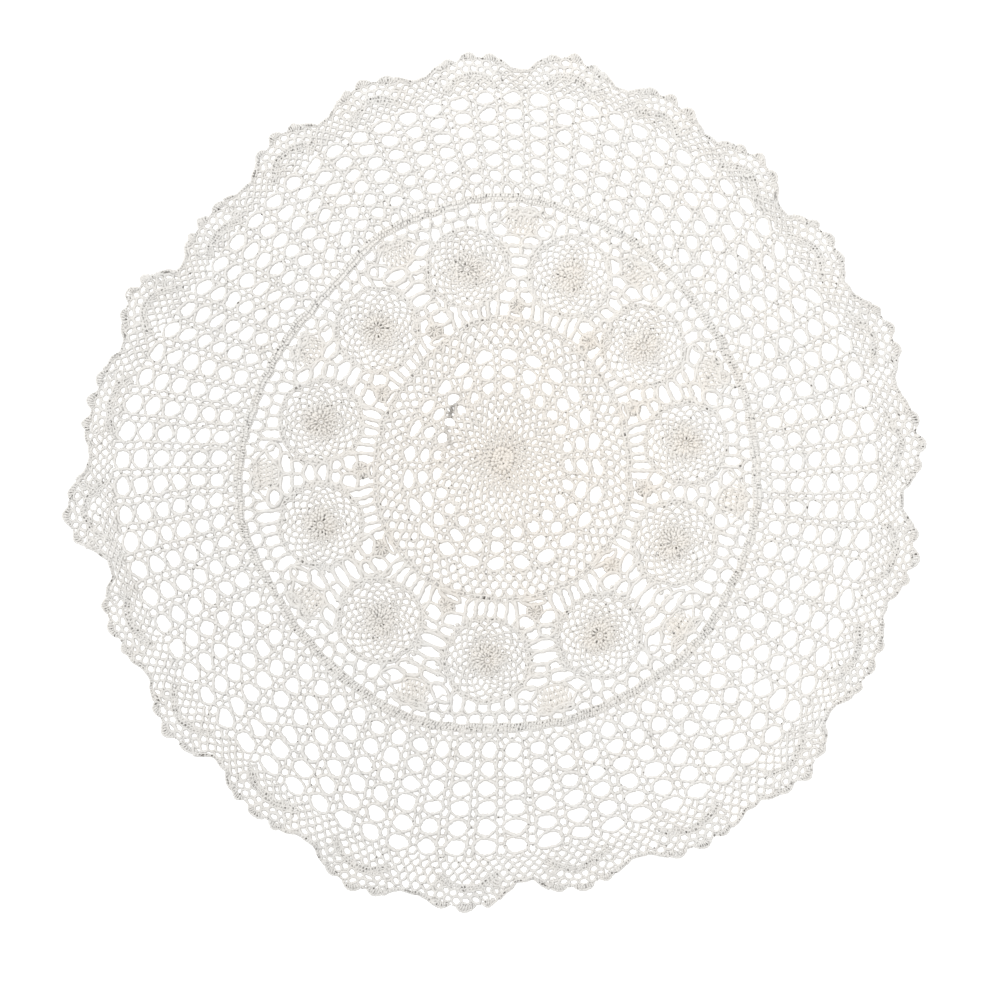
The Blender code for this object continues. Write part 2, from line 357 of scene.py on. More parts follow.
def wave_table():
    """The waves that make handwork uneven: a direction, length and start for each, for the four
    things that they move, which are x, y, height and width."""
    draw = np.random.default_rng(SEED)
    length = SHORTEST_WAVE * (LONGEST_WAVE / SHORTEST_WAVE) ** draw.random((4, WAVES))
    angle = draw.random((4, WAVES)) * 2 * math.pi
    pace = 2 * math.pi / length[..., None] * np.stack((np.cos(angle), np.sin(angle)), axis=-1)
    return pace, draw.random((4, WAVES)) * 2 * math.pi


WAVE_PACES, WAVE_STARTS = wave_table()


def unevenness(points):
    """Four numbers of about -1 to 1 at points, each of which changes smoothly over the doily."""
    phases = np.einsum("...c,vwc->...vw", points, WAVE_PACES) + WAVE_STARTS
    return np.sin(phases).sum(axis=-1) * math.sqrt(2 / WAVES)


def smooth_weights(corners, count):
    """The weights of corners in count points, evenly along the smooth curve through the corners."""
    weights = np.zeros((count, corners))
    for k, at in enumerate(np.linspace(0, corners - 1, count)):
        first = min(int(at), corners - 2)
        t = at - first
        pulls = (
            (-t + 2 * t**2 - t**3) / 2,
            (2 - 5 * t**2 + 3 * t**3) / 2,
            (t + 4 * t**2 - 3 * t**3) / 2,
            (-(t**2) + t**3) / 2,
        )
        for step, pull in zip((-1, 0, 1, 2), pulls):
            weights[k, min(max(first + step, 0), corners - 1)] += pull
    return weights


def matched(columns, rows):
    """Column and row numbers as two arrays of the same length."""
    return np.broadcast_arrays(np.atleast_1d(columns), np.atleast_1d(rows))


class Lace:
    """The threads of one piece, gathered as tubes until its mesh is made. Its number starts the piece's
    own random draws, and its chains and posts have the yarn's widths."""

    def __init__(self, number, yarn):
        self.draw = np.random.default_rng(SEED + number)
        self.yarn = yarn
        self.chain = yarn.chain_width / MM
        self.post = yarn.post_width / MM
        self.points = []
        self.quads = []
        self.wraps = []
        self.shades = []
        self.count = 0

    def tubes(self, lines, widths, closed=False, flatness=FLATNESS, dark=0.0):
        """Adds tubes of the same number of points. lines has tubes, points and x, y, height, and
        widths fits its first two axes. A stitch is two points long. dark is how shaded they are."""
        stray = unevenness(lines[..., :2])
        flat = lines[..., :2] + stray[..., :2] * STRAY
        height = lines[..., 2] + stray[..., 2] * HEAVE
        tubes, total = lines.shape[:2]
        half = widths / 2 * (1 + stray[..., 3] * SWELL)
        half = half * (1 - BULGE * np.cos(math.pi * np.arange(total)))
        half = half * (1 + WIDTH_SPREAD * self.draw.standard_normal((tubes, 1)))
        ahead = np.roll(flat, -1, axis=1) - np.roll(flat, 1, axis=1)
        if not closed:
            ahead[:, 0] = flat[:, 1] - flat[:, 0]
            ahead[:, -1] = flat[:, -1] - flat[:, -2]
        ahead /= np.maximum(np.linalg.norm(ahead, axis=-1, keepdims=True), 1e-6)
        right = np.stack((ahead[..., 1], -ahead[..., 0]), axis=-1)
        height = np.maximum(height, half * flatness)
        rings = np.zeros(lines.shape[:2] + (SIDES, 3))
        for k in range(SIDES):
            angle = 2 * math.pi * k / SIDES
            rings[:, :, k, :2] = flat + right * (half * math.cos(angle))[..., None]
            rings[:, :, k, 2] = height + half * math.sin(angle) * flatness
        self.shades.append(np.broadcast_to(np.reshape(dark, (-1, 1, 1)), rings.shape[:3]).ravel())
        rings[..., 2] += ripple_height(flat)[..., None]
        self._join(rings, closed)

    def _join(self, rings, closed):
        """Adds the faces between the rings of tubes, and their ends."""
        tubes, total = rings.shape[:2]
        index = self.count + np.arange(tubes * total * SIDES).reshape(tubes, total, SIDES)
        here = index if closed else index[:, :-1]
        there = np.roll(index, -1, axis=1) if closed else index[:, 1:]
        turned_here, turned_there = np.roll(here, -1, axis=2), np.roll(there, -1, axis=2)
        quads = np.stack((here, there, turned_there, turned_here), axis=-1).reshape(-1, 4)
        along, side = np.meshgrid(np.arange(here.shape[1]) / 2, np.arange(SIDES), indexing="ij")
        low, high = side / SIDES, (side + 1) / SIDES
        wrap = np.stack((along, low, along + 0.5, low, along + 0.5, high, along, high), axis=-1)
        wraps = np.broadcast_to(wrap, (tubes,) + wrap.shape).reshape(-1, 8)
        self.points.append(rings.reshape(-1, 3))
        self.quads.append(quads)
        self.wraps.append(wraps)
        if not closed:
            ends = np.concatenate((index[:, 0], index[:, -1, ::-1]))
            self.quads.append(ends)
            self.wraps.append(np.zeros((len(ends), 8)))
        self.count += rings.size // 3

    def work(self, ground, columns, rows, path, stitches, width, height=LYING, bow=BOW, **facts):
        """Works the same thread in many cells. path has its corners as (across, along), in columns
        and rows from the cell's middle."""
        across, along = np.array(path).T
        columns, rows = matched(columns, rows)
        corners = ground(columns[:, None] + across, rows[:, None] + along)
        weights = smooth_weights(len(path), 2 * stitches + 1)
        flat = np.einsum("nk,mkc->mnc", weights, corners)
        swing = np.sin(math.pi * np.linspace(0, 1, 2 * stitches + 1))
        flat += swing[:, None] * self.draw.standard_normal((len(flat), 1, 2)) * bow
        self.lay(flat, width, height, **facts)

    def lay(self, flat, width, height=LYING, **facts):
        """Adds tubes along flat lines, which have tubes, points and x, y."""
        lines = np.concatenate((flat, np.full(flat.shape[:2] + (1,), float(height))), axis=-1)
        self.tubes(lines, width, **facts)

    def round(self, ground, columns, row, stitches, width, height=LYING, **facts):
        """Adds one closed thread all the way round at a row."""
        column = np.arange(2 * stitches) * columns / (2 * stitches)
        self.lay(ground(column, np.full_like(column, row))[None], width, height, closed=True, **facts)

    def under(self, ground, columns, row, stitches, width):
        """Adds one of the wide flat threads all the way round that lie under close work."""
        self.round(ground, columns, row, stitches, width, UNDER_HEIGHT, flatness=UNDER_FLATNESS)

    def knots(self, ground, columns, rows, place, size, height=LYING + 0.15):
        """Adds one knot in each of many cells, at place in the cell."""
        columns, rows = matched(columns, rows)
        middles = ground(columns + place[0], rows + place[1])
        beside = ground(columns + place[0] + 0.01, rows + place[1]) - middles
        beside /= np.linalg.norm(beside, axis=-1, keepdims=True)
        flat = middles[:, None] + beside[:, None] * (KNOT_STEPS * size)[:, None]
        self.lay(flat, KNOT_WIDTHS * size, height)
        # A share of the knots get a dark dot: painted shade between the stitches.
        kept = flat[self.draw.random(len(flat)) < DARK_KNOTS]
        if len(kept):
            middle = kept[:, 1:2] + self.draw.standard_normal((len(kept), 1, 2)) * DOT_STRAY
            dots = middle + (kept - kept[:, 1:2]) * DOT_LENGTH
            dark = 0.1 + 0.8 * self.draw.random(len(dots)) ** 2.5
            self.lay(dots, DOT_SIZE * size, height + 0.3, dark=dark)

    def loose(self, numbers, spread):
        """The numbers, each a little off."""
        return numbers + self.draw.standard_normal(len(numbers)) * spread

    def painted_gap_shade(self, ground, columns, rows, path, width, share, stray=0.1):
        """Adds painted shade for the gaps that show in close work: a short dark thread over a share of
        the cells that strays a little along the round."""
        columns, rows = matched(columns, rows)
        kept = self.draw.random(columns.shape) < share
        columns = self.loose(columns[kept], stray)
        dark = 0.15 + 0.75 * self.draw.random(kept.sum()) ** 2
        self.work(ground, columns, rows[kept], path, 1, width, LYING + 0.4, dark=dark)

    def rings(self, middles, outward, across, along, width, stitches=6, height=LYING):
        """Adds a ring of thread round each gap of the same size: across wide, along high."""
        turn = np.arange(2 * stitches) / (2 * stitches) * 2 * math.pi
        up = outward / np.linalg.norm(outward, axis=-1, keepdims=True)
        side = np.stack((up[..., 1], -up[..., 0]), axis=-1)
        wide = (across + width) / 2 * np.sin(turn)[:, None]
        high = (along + width) / 2 * np.cos(turn)[:, None]
        flat = middles[:, None] + side[:, None] * wide + up[:, None] * high
        self.lay(flat, width, height, closed=True)

    def mesh(self, name):
        """The mesh of all the threads. Its UV map holds the stitches along a thread and the turn round
        it, and each point has as values its painted shade with the real smear, its age and the painted
        shade of the darker side."""
        points = np.concatenate(self.points) * MM
        quads = np.concatenate(self.quads).astype(np.int32)
        made = bpy.data.meshes.new(name)
        made.vertices.add(len(points))
        made.vertices.foreach_set("co", points.ravel())
        made.loops.add(quads.size)
        made.loops.foreach_set("vertex_index", quads.ravel())
        made.polygons.add(len(quads))
        made.polygons.foreach_set("loop_start", np.arange(0, quads.size, 4, dtype=np.int32))
        made.polygons.foreach_set("use_smooth", np.ones(len(quads), dtype=bool))
        made.uv_layers.new(name="thread").uv.foreach_set("vector", np.concatenate(self.wraps).ravel())
        flat = np.concatenate(self.points)[:, :2]
        # Painted shade and lightening of each tube, with the real smear added on.
        shade_and_stain = np.concatenate(self.shades) + smear(flat)
        facts = {"shade_and_stain": shade_and_stain, "age": ageing(flat), "side_shade": side_shading(flat)}
        for fact, values in facts.items():
            made.attributes.new(fact, "FLOAT", "POINT").data.foreach_set("value", values)
        made.update(calc_edges=True)
        made.validate()
        return made


# --- Stitches, in the units of their cell ---


def mirrored(path):
    """A path with left and right changed over."""
    return tuple((-across, along) for across, along in path)


def symmetric(half):
    """The path that follows half to the middle, where it ends, and goes on as its mirror image."""
    return half + mirrored(half[-2::-1])


def dash(across, along):
    """A straight path through the cell's middle. Both its ends are so far from there."""
    return ((-across, -along), (across, along))


LADDER_SIDE = ((0.40, -0.5), (0.36, -0.25), (0.40, 0.0), (0.36, 0.25), (0.40, 0.5))
NET_ARC = symmetric(((-0.385, 0.05), (-0.33, 0.24), (-0.18, 0.41), (0.0, 0.47)))
NET_FOOT = symmetric(((-0.38, -0.02), (-0.32, -0.21), (-0.18, -0.37), (0.0, -0.42)))
SMALL_ARC = symmetric(((-0.25, 0.1), (-0.16, 0.36), (0.0, 0.44)))
MESH_LOOP = symmetric(((-0.5, -0.5), (-0.43, -0.08), (-0.25, 0.33), (0.0, 0.5)))
POST = dash(0.0, 0.5)


def cells(columns, rows):
    """The column and row numbers of every cell, as two flat arrays."""
    column, row = np.meshgrid(columns, rows)
    return column.ravel().astype(float), row.ravel().astype(float)


def work_ovals(lace, ground, columns, rows, chain):
    """Works ovals between ladders: an arc over each oval, a roof from its foot, and a ladder on
    either side with a rung beside the oval and one above it."""
    column, row = cells(columns, rows)
    for side in (LADDER_SIDE, mirrored(LADDER_SIDE)):
        lace.work(ground, column, row, side, 4, chain * 0.95, bow=0.08)
    lace.work(ground, column, row, NET_ARC, 6, chain)
    lace.work(ground, column, row, NET_FOOT, 6, chain * 0.95)
    for along in (0.0, 0.5):
        lace.work(ground, column, row, ((0.4, along), (0.6, along)), 1, chain * 0.9)
        lace.knots(ground, column, row, (0.5, along), chain * 0.95)
    lace.knots(ground, column, row, (0.0, -0.47), chain * 1.3)
    for across in (-0.385, 0.385):
        lace.knots(ground, column, row, (across, 0.1), chain * 1.05)
        lace.knots(ground, column, row, (across, -0.08), chain)


def work_mesh(lace, ground, columns, rows, stitches, chain):
    """Works rounds of loops, each round half a loop further on than the one below."""
    column, row = cells(np.arange(columns), rows)
    column += row % 2 / 2
    lace.work(ground, column, row, MESH_LOOP, stitches, chain)
    lace.knots(ground, column, row, (0.0, 0.5), chain * 1.3)


def work_posts(lace, ground, columns, rows, width, height=RAISED, **facts):
    """Works rounds of upright posts."""
    column, row = cells(np.arange(columns), rows)
    lace.work(ground, column, row, POST, 1, width, height, **facts)


# --- The cotton ---


class Socket:
    """An output of a shader node. Sums, differences and products with it add Math nodes."""

    def __init__(self, shader, output):
        self.shader = shader
        self.output = output

    def _math(self, operation, left, right=0.0):
        return self.shader.node("ShaderNodeMath", {"operation": operation}, {0: left, 1: right})

    def __add__(self, other):
        return self._math("ADD", self, other)

    def __sub__(self, other):
        return self._math("SUBTRACT", self, other)

    def __mul__(self, other):
        return self._math("MULTIPLY", self, other)

    def __abs__(self):
        return self._math("ABSOLUTE", self)

    def sine(self):
        """The sine of this value in radians."""
        return self._math("SINE", self)

    def limited(self):
        """This value kept between 0 and 1."""
        return self.shader.node("ShaderNodeClamp", inputs={"Value": self})


class Shader:
    """The nodes of one material."""

    def __init__(self, name):
        self.material = bpy.data.materials.new(name)
        self.material.use_nodes = True
        self.nodes = self.material.node_tree.nodes
        self.surface = self.nodes["Principled BSDF"]

    def node(self, kind, settings=None, inputs=None, output=0):
        """Adds a node of a type with its settings, then its sockets' values or links."""
        node = self.nodes.new(kind)
        for name, value in (settings or {}).items():
            setattr(node, name, value)
        self.feed(node, inputs or {})
        return Socket(self, node.outputs[output])

    def feed(self, node, inputs):
        """Sets or links sockets of a node."""
        for name, value in inputs.items():
            if isinstance(value, Socket):
                self.material.node_tree.links.new(value.output, node.inputs[name])
            else:
                node.inputs[name].default_value = value

    def fact(self, name):
        """A value that is kept with each point of the mesh."""
        return self.node("ShaderNodeAttribute", {"attribute_name": name}, output="Fac")

    def noise(self, place, scale, detail):
        """Smooth noise from 0 to 1."""
        inputs = {"Vector": place, "Scale": scale, "Detail": detail}
        return self.node("ShaderNodeTexNoise", inputs=inputs)

    def mix(self, share, low, high):
        """The colour between low and high."""
        node = self.nodes.new("ShaderNodeMix")
        node.data_type = "RGBA"
        self.feed(node, {0: share, 6: low, 7: high})
        return Socket(self, node.outputs[2])


def opaque(colour):
    """A colour with its alpha."""
    return tuple(colour) + (1.0,)


YARN_NAME = "worked cotton"


def cotton(yarn):
    """The doily's cotton, which the first piece makes and the others share."""
    if YARN_NAME in bpy.data.materials:
        return bpy.data.materials[YARN_NAME]
    shader = Shader(YARN_NAME)
    place = shader.node("ShaderNodeTexCoord", output="Object")
    wrap = shader.node("ShaderNodeUVMap", {"uv_map": "thread"})
    along = shader.node("ShaderNodeSeparateXYZ", inputs={"Vector": wrap}, output="X")
    around_thread = shader.node("ShaderNodeSeparateXYZ", inputs={"Vector": wrap}, output="Y")
    aside = (abs(around_thread - 0.25) * 4).limited()
    plies = ((along + aside * 0.3) * (2 * math.pi)).sine()
    # The creases between the plies, which are darkened below as painted shade.
    crease = (plies * -0.9 - 0.2).limited()
    # The blotches are about 17 mm across, the mottle 2.4 mm and the fibres 0.7 mm.
    blotches = shader.noise(place, 60.0, 3.0)
    fibres = shader.noise(place, 1500.0, 2.0)
    age = (shader.fact("age") + (blotches - 0.5) * 0.8).limited()
    colour = shader.mix(age, opaque(yarn.colour), opaque(yarn.warm_colour))
    mottle = (shader.noise(place, 420.0, 1.0) * 1.6 - 0.7).limited() * 0.14
    # Painted shade that greys the cotton towards one side of the doily.
    side_shade = (shader.fact("side_shade") + (fibres - 0.5) * 0.3).limited()
    colour = shader.mix(side_shade, colour, opaque(yarn.side_shade_colour))
    # Painted shade: the cotton is darkened towards the sides of each thread and in the creases of its
    # plies. Each point's shade value adds painted shade in gaps, painted light on raised close work and
    # the real brown smear. The mottle is a random tone.
    shade_and_stain = (shader.fact("shade_and_stain") + aside * aside * 0.14 + crease * 0.1 + mottle).limited()
    colour = shader.mix(shade_and_stain, colour, opaque(yarn.shade_and_stain_colour))
    height = plies * 0.5 + fibres
    relief = {"Height": height, "Strength": 0.5, "Distance": 0.0002}
    bump = shader.node("ShaderNodeBump", inputs=relief)
    facts = {"Base Color": colour, "Roughness": fibres * 0.1 + 0.86, "Normal": bump}
    shader.feed(shader.surface, {**facts, "Sheen Weight": yarn.sheen})
    return shader.material


# The places of close work, which has yellowed most: how far the shells' middles are in from the braid,
# how far the balls' are from the middle, and the radius of such a place.
SHELL_DEPTH = 17.0
BALL_REACH = 88.5
CLOSE_RADIUS = 11.0


def ageing(flat):
    """How yellowed the cotton is at points: most in the hearts, the balls and the shells."""
    age = 0.75 - 0.5 * eased((np.hypot(*flat.T) - 20) / 130)
    halves = repeat_degrees(np.arange(len(WHEELS)) + 0.5)
    shells = around(halves, braid_radius(halves) - SHELL_DEPTH)
    balls = around(halves, BALL_REACH)
    hearts = [heart_of(wheel) for wheel in WHEELS]
    for place in (*shells, *balls, *hearts, MEDALLION_MIDDLE):
        age += 0.35 * np.exp(-((np.hypot(*(flat - place).T) / CLOSE_RADIUS) ** 2))
    return age


# The direction of the side that is greyed with painted shade, and about how far it is to the rim.
SHADED_SIDE = 250.0
RIM_REACH = 250.0


def side_shading(flat):
    """How much painted shade greys the cotton at points, most towards one side."""
    side = flat @ around(SHADED_SIDE, 1.0) / RIM_REACH
    return 0.35 * eased((side + 0.75) / 1.5)


# The brown smear on the medallion: the corners of its line, which is darkest round the second one.
SMEAR = np.array(((-27.0, 41.0), (-31.2, 31.8), (-34.0, 19.0), (-31.5, 11.0)))
SMEAR_HALF_WIDTH = 1.8
SMEAR_SPOT = 5.0


def smear(flat):
    """How dark the smear makes the cotton at points: most at its second corner."""
    away = np.full(len(flat), np.inf)
    for start, end in zip(SMEAR, SMEAR[1:]):
        run = end - start
        share = np.clip((flat - start) @ run / (run @ run), 0.0, 1.0)
        away = np.minimum(away, np.hypot(*(flat - start - share[:, None] * run).T))
    spot = np.hypot(*(flat - SMEAR[1]).T)
    darkest = 0.3 + 0.35 * np.exp(-((spot / SMEAR_SPOT) ** 2))
    return darkest * np.exp(-((away / SMEAR_HALF_WIDTH) ** 2))


def show(lace, name):
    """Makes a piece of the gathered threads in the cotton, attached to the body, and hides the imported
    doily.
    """
    piece = bpy.data.objects.new(name, lace.mesh(name))
    piece.data.materials.append(cotton(lace.yarn))
    bpy.context.scene.collection.objects.link(piece)
    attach(piece, BODY)
    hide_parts(CAD_NODE)
    return piece


def show_sheet(lace, name):
    """Makes a piece of laid lace from the gathered threads, as show does."""
    piece = show(lace, name)


# --- Settings ---


def number_setting(name, description, default, low=0.0, **facts):
    """A setting that is a number, with its lowest value and its unit or subtype."""
    return bpy.props.FloatProperty(name=name, description=description, default=default, min=low, **facts)


def colour_setting(name, description, default):
    """A setting that is a colour."""
    return bpy.props.FloatVectorProperty(
        name=name, description=description, default=default, min=0.0, max=1.0, subtype="COLOR"
    )


class DoilyYarn(bpy.types.PropertyGroup):
    """The cotton and how it is worked."""

    chain_width: number_setting(
        "Chain", "Width of a chain of stitches", 0.00205, 0.0005, max=0.003, unit="LENGTH"
    )
    post_width: number_setting(
        "Post", "Width of an upright stitch", 0.0016, 0.0005, max=0.003, unit="LENGTH"
    )
    colour: colour_setting("Cotton", "Colour of clean cotton", (0.93, 0.92, 0.895))
    warm_colour: colour_setting("Aged cotton", "Colour of yellowed cotton", (0.95, 0.89, 0.81))
    # The colour of painted shade on the darker side of the doily.
    side_shade_colour: colour_setting("Grey cotton", "Colour of greyed cotton", (0.66, 0.65, 0.63))
    # The colour of painted shade between the stitches, which the real smear also darkens towards.
    shade_and_stain_colour: colour_setting(
        "Cotton in shade", "Colour of the yarn deep between the stitches", (0.10, 0.085, 0.07)
    )
    sheen: number_setting("Sheen", "Weight of the fibres' soft sheen", 0.2, max=1.0, subtype="FACTOR")


class DoilyStage(bpy.types.PropertyGroup):
    """What the doily lies on, and its light and camera."""

    floor_size: number_setting("Floor", "Side of the square floor", 8.0, 1.0, unit="LENGTH")
    floor_colour: colour_setting("Floor colour", "Colour of the floor", (0.92, 0.92, 0.92))
    floor_glow: number_setting("Floor glow", "Strength of the light through the floor", 0.5)
    sky_light: number_setting("Sky", "Strength of the even light from all sides", 0.78)
    lamp_power: number_setting("Lamp", "Power of the large lamp over the doily", 18.0, unit="POWER")
    view_width: number_setting("View", "Width of floor that the camera sees", 0.6, 0.1, unit="LENGTH")
    lens: number_setting("Lens", "Focal length of the camera, in millimetres", 85.0, 20.0, max=200.0)


# --- The pieces ---

# The medallion's rounds are given as radii in millimetres that reach this one at its border.
MEDALLION_BORDER = 80.1


def medallion_shape(degrees, radius):
    """Points of the medallion at directions and radii of a round one."""
    return medallion_point(degrees, radius / MEDALLION_BORDER)


def medallion_ground(columns, start, radii):
    """A ground in rounds of the medallion."""
    return ring_ground(medallion_shape, columns, start, radii)


def raised_ring(lace, ground, columns):
    """A close raised ring between rows 0 and 2: a round of posts between two of chain."""
    work_posts(lace, ground, columns, (1,), lace.post * 1.1)
    for row in (0.5, 1.5):
        lace.round(ground, columns, row, columns, lace.chain * 0.7, LYING + 0.25)
    lace.painted_gap_shade(ground, np.arange(columns) + 0.5, 1.0, dash(0.0, 0.3), 1.1, 0.25)


def work_medallion_heart(lace):
    """The close heart: rounds of posts that spread from the middle, with more painted shade in its gaps
    on one side.
    """
    heart = medallion_ground(24, 0.0, (0.0, 1.6, 3.8, 6.2, 8.4))
    for row, count in ((1, 8), (2, 16), (3, 24)):
        column = lace.loose(np.arange(count) * 24 / count, 0.2)
        lace.work(heart, column, row, POST, 1, lace.post * 1.25, RAISED, dark=LIT / 2)
    for row, width in ((0.3, 2.4), (1.5, 3.2), (2.4, 3.2), (3.1, 2.4)):
        lace.under(heart, 24, row, 10 + int(8 * row), width)
    for row in (1.4, 1.9, 2.4, 2.9, 3.5):
        for columns, share in ((np.arange(-12, 4), 0.85), (np.arange(4, 12), 0.25)):
            lace.painted_gap_shade(heart, columns + row, row, dash(-0.05, 0.2), 0.9, share)


def work_medallion_rounds(lace):
    """The rounds between the heart and the ring: mesh, ovals and mesh again."""
    for columns, turn, radii, share in (
        (20, 2.0, (6.2, 8.6, 11.2, 13.9), 0.9),
        (30, 2.0, (11.6, 14.2, 17.2, 20.6, 24.4, 28.4), 0.9),
        (42, 4.0, (25.0, 28.8, 32.6, 36.4, 40.2), 0.95),
    ):
        mesh = medallion_ground(columns, turn, radii)
        work_mesh(lace, mesh, columns, range(1, len(radii) - 1), 2, lace.chain * share)
    ovals = medallion_ground(24, 4.0, (31.8, 41.1, 50.1, 59.4, 68.7))
    work_ovals(lace, ovals, np.arange(24), (1, 2, 3), lace.chain)
    outer = medallion_ground(72, 1.5, (60.5, 64.3, 68.6, 72.8, 76.9, 81.0))
    work_mesh(lace, outer, 72, (1, 2, 3, 4), 2, lace.chain)


class DOILY_OT_medallion(bpy.types.Operator):
    """Work the medallion: its close heart and ring, and between them ovals and fine mesh."""

    bl_idname = "doily.work_medallion"
    bl_label = "Work the medallion"

    def execute(self, context):
        yarn = context.scene.doily_yarn
        raised = Lace(20, yarn)
        work_medallion_heart(raised)
        border = medallion_ground(144, 0.0, (77.8, 80.1, 82.4))
        raised_ring(raised, border, 144)
        lace = Lace(0, yarn)
        work_medallion_rounds(lace)
        trims = [show(raised, "medallion_heart_and_ring")]
        show_sheet(lace, "medallion")
        return {"FINISHED"}


# The radii of the rounds of mesh in a wheel: the finer ones round its heart, and those about them. The
# raised ring is last.
INNER_ROUNDS = (6.9, 8.9, 11.1, 13.4)
OUTER_ROUNDS = (11.5, 14.1, 16.8, 19.5, 22.2, 24.7)
RING_ROUNDS = (22.4, 24.3, 26.1)
RING_POSTS = 52

# A gap in the joining between two wheels: its place from the medallion, 0, to the braid, 1, how far
# it stands to each side of the line between the wheels, its sides, and how far it is tilted.
JoinGap = namedtuple("JoinGap", "share aside across along tilt")
JOIN_GAPS = [
    JoinGap(*row)
    for row in (
        (0.035, 0.0, 6.0, 2.2, 12), (0.19, 6.2, 9.0, 7.2, 10), (0.285, 3.6, 5.4, 4.8, 0),
        (0.385, 0.0, 9.4, 5.2, 0), (0.48, 0.0, 9.6, 5.4, 0), (0.57, 3.8, 6.2, 5.2, 0),
        (0.65, 6.3, 10.0, 5.6, 0), (0.74, 13.8, 9.0, 6.4, -25), (0.89, 3.9, 6.2, 2.2, 0),
    )
]

# The two hearts beside a join are this far apart where its gaps have just the widths above.
EVEN_SPREAD = 62.2

# A wall of the join, from the shell to the wheel: places across, in millimetres, and from the medallion
# to the braid, as shares. Its small ball and the knots on its middle line stand at such shares too.
WALL = ((7.5, 0.885), (11.8, 0.84), (15.4, 0.79))
BALL_SHARE = 0.115
KNOT_SHARES = np.array((0.2, 0.62, 0.16))

# The line along the foot of the close shell, the shares at which its rounds stand and their height.
SHELL_FOOT = symmetric(((-8.2, 0.75), (-6.4, 0.722), (-3.2, 0.708), (0.0, 0.704)))
SHELL_ROUNDS = (0.735, 0.78, 0.825, 0.87)
SHELL_ROUND_HEIGHT = 0.05

# The posts of the braid, and the columns of the loops inside it, to a repeat.
BRAID_POSTS = 55
LOOP_COLUMNS = 11


def wheel_edge(wheel, degrees, sign):
    """Where a true direction crosses a wheel's border: on the near side for -1, the far one for 1."""
    swing = np.radians(degrees - wheel.degrees)
    chord = np.sqrt((WHEEL_RADIUS * wheel.size) ** 2 - (wheel.reach * np.sin(swing)) ** 2)
    return wheel.reach * np.cos(swing) + sign * chord


def work_bars(lace, degrees, start, end, width):
    """Works a straight thread outward in each direction, and rounds the slots between them."""
    share = np.linspace(0, 1, 7)
    radius = start[:, None] + (end - start)[:, None] * share
    lace.lay(around(degrees[:, None], radius), width)
    middle, low, high = [(line[1:] + line[:-1]) / 2 for line in (degrees, start, end)]
    reach = (low + high) / 2
    pitch = reach * np.radians(np.diff(degrees))
    across = (pitch - width * 0.7)[:, None, None]
    along = (high - low - width * 0.5)[:, None, None]
    lace.rings(around(middle, reach), around(middle, 1.0), across, along, width * 0.7)


def loop_ground(column, row):
    """The round of loops inside the braid. Row 1 is at their feet, which are nearer to the braid
    between two wheels than over a wheel."""
    repeat = column / LOOP_COLUMNS
    degrees = repeat_degrees(repeat)
    depth = 6.0 + 0.7 * np.cos(2 * math.pi * repeat)
    return around(degrees, braid_radius(degrees) - 2.4 - row * depth)


def braid_ground(column, row):
    """The braid: a post at each column, and its two edges at rows -2 and 2."""
    degrees = repeat_degrees(column / BRAID_POSTS)
    return around(degrees, braid_radius(degrees) + row * 1.2)


def work_wheel_heart(lace, shape):
    """The heart of a wheel: open posts round a ring, and a close round about them."""
    heart = ring_ground(shape, 11, 0.0, (0.0, 1.4, 3.4, 5.6, 7.8, 9.6))
    lace.round(heart, 11, 1, 5, lace.chain * 0.8, RAISED)
    work_posts(lace, heart, 11, (2,), lace.post, dark=LIT)
    column, row = cells(np.arange(22) / 2 + 0.25, (3, 4))
    column, row = lace.loose(column + row / 4, 0.1), lace.loose(row, 0.1)
    lace.work(heart, column, row, POST, 1, lace.post * 1.1, RAISED, dark=LIT)
    for level, width in ((1.6, 2.8), (2.6, 2.8), (3.6, 2.8), (4.4, 2.0)):
        lace.under(heart, 11, level, 16, width)
    slot = dash(0.06, 0.3)
    lace.painted_gap_shade(heart, np.arange(11) + 0.5, 2.0, slot, 0.9, 0.6)
    for row, share in ((3.0, 0.4), (4.0, 0.25)):
        lace.painted_gap_shade(heart, np.arange(22) / 2, row, slot, 0.8, share)


def work_slots(lace, number):
    """Bars from the wheel to the medallion, and to the loops inside the braid. The first and the
    last of these are short, as they start beside the wheel."""
    wheel = WHEELS[number]
    inner = repeat_degrees(number + np.array((-2.5, -1.5, -0.5, 0.5, 1.5, 2.5)) * 0.115)
    start = medallion_radius(inner) + 1.0
    work_bars(lace, inner, start, wheel_edge(wheel, inner, -1), lace.chain * 1.2)
    column = number * LOOP_COLUMNS + np.arange(-3.5, 4)
    outer = repeat_degrees(column / LOOP_COLUMNS)
    feet = np.hypot(*loop_ground(column, 1.05).T)
    start = wheel_edge(wheel, outer, 1)
    start[[0, -1]] = feet[[0, -1]] - 4.0
    work_bars(lace, outer, start, feet, lace.chain * 1.1)


